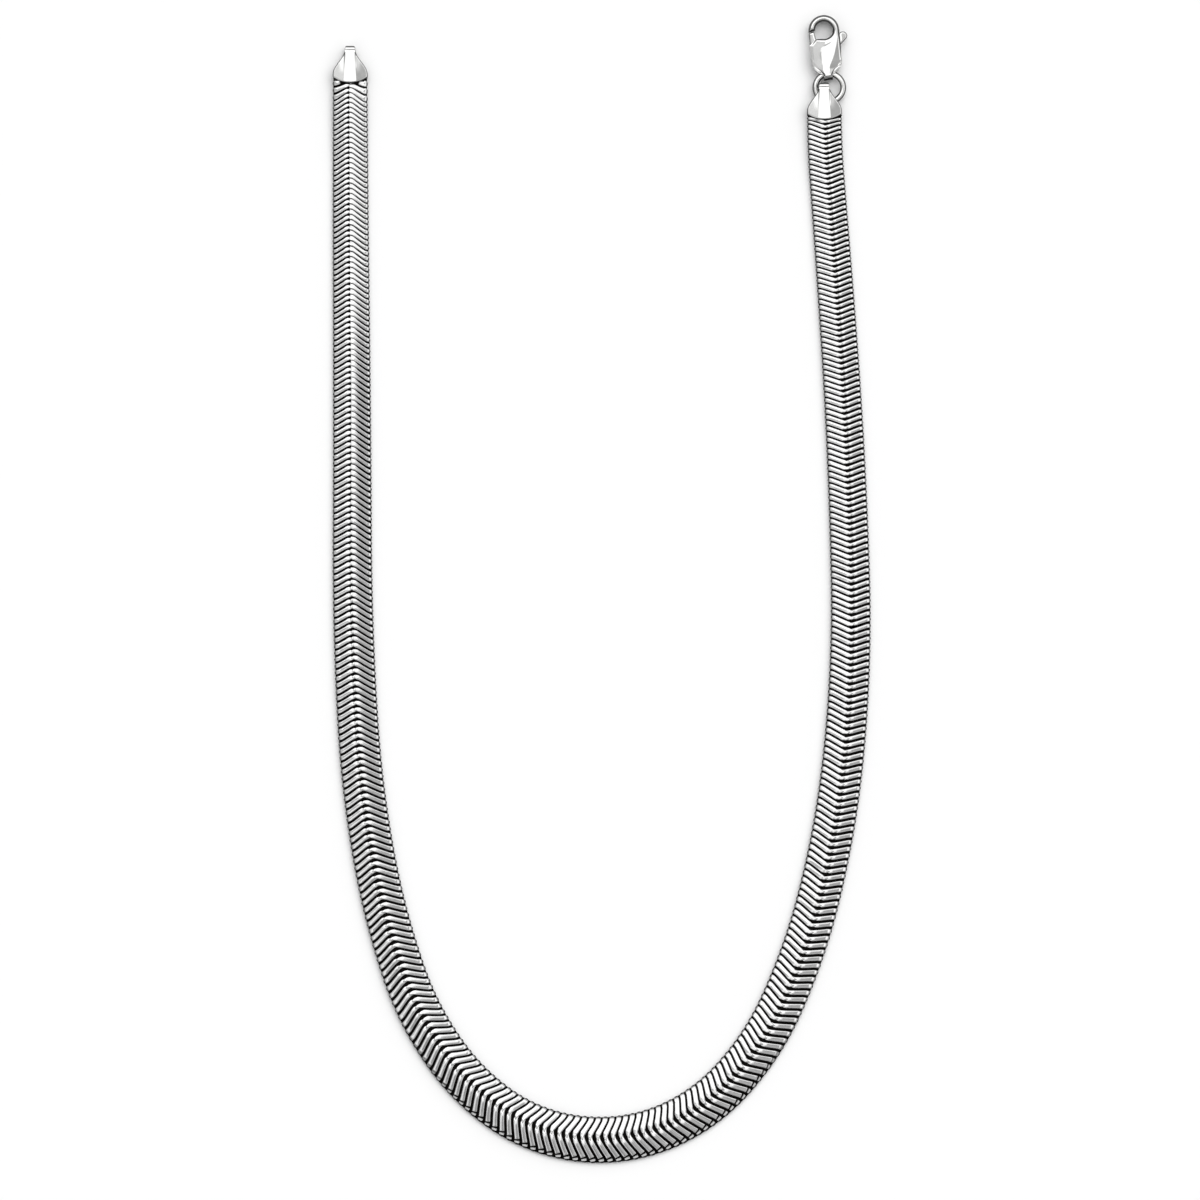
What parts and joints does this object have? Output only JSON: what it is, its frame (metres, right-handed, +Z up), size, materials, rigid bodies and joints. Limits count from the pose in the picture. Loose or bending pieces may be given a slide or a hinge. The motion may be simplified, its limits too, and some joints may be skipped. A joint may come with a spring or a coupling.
{
  "type": "herringbone chain",
  "caption": "Flat woven silver neck chain with a chevron pattern, widening toward its middle, with folded end caps, a jump ring and a lobster clasp; lies open in a long U.",
  "frame": {"origin": "on the surface the chain lies on, below the middle of its outline's box", "axes": "+Z up from the surface, +Y toward the open ends and the clasp, +X toward the clasp's side"},
  "size_m": [0.1004, 0.2138, 0.0026],
  "materials": {
    "woven_silver": "polished ribs with black oxide in the grooves between them",
    "bright_silver": "bright polished silver with fine wear lines"
  },
  "bodies": {
    "necklace": {"chain": "woven_silver", "end_cap_left": "bright_silver", "end_cap_right": "bright_silver", "jump_ring": "bright_silver", "clasp_body": "bright_silver", "lever_pin": "bright_silver"},
    "lever": {"clasp_lever": "bright_silver"}
  },
  "joints": [
    {"name": "lever_hinge", "type": "hinge", "parent": "necklace", "child": "lever", "pos_m": [0.04059, 0.09864, 0.0013], "axis": [0, 0, -1], "range_deg": [0, 25], "stiffness_Nm_per_rad": 0.005, "springref_deg": -11.46}
  ]
}
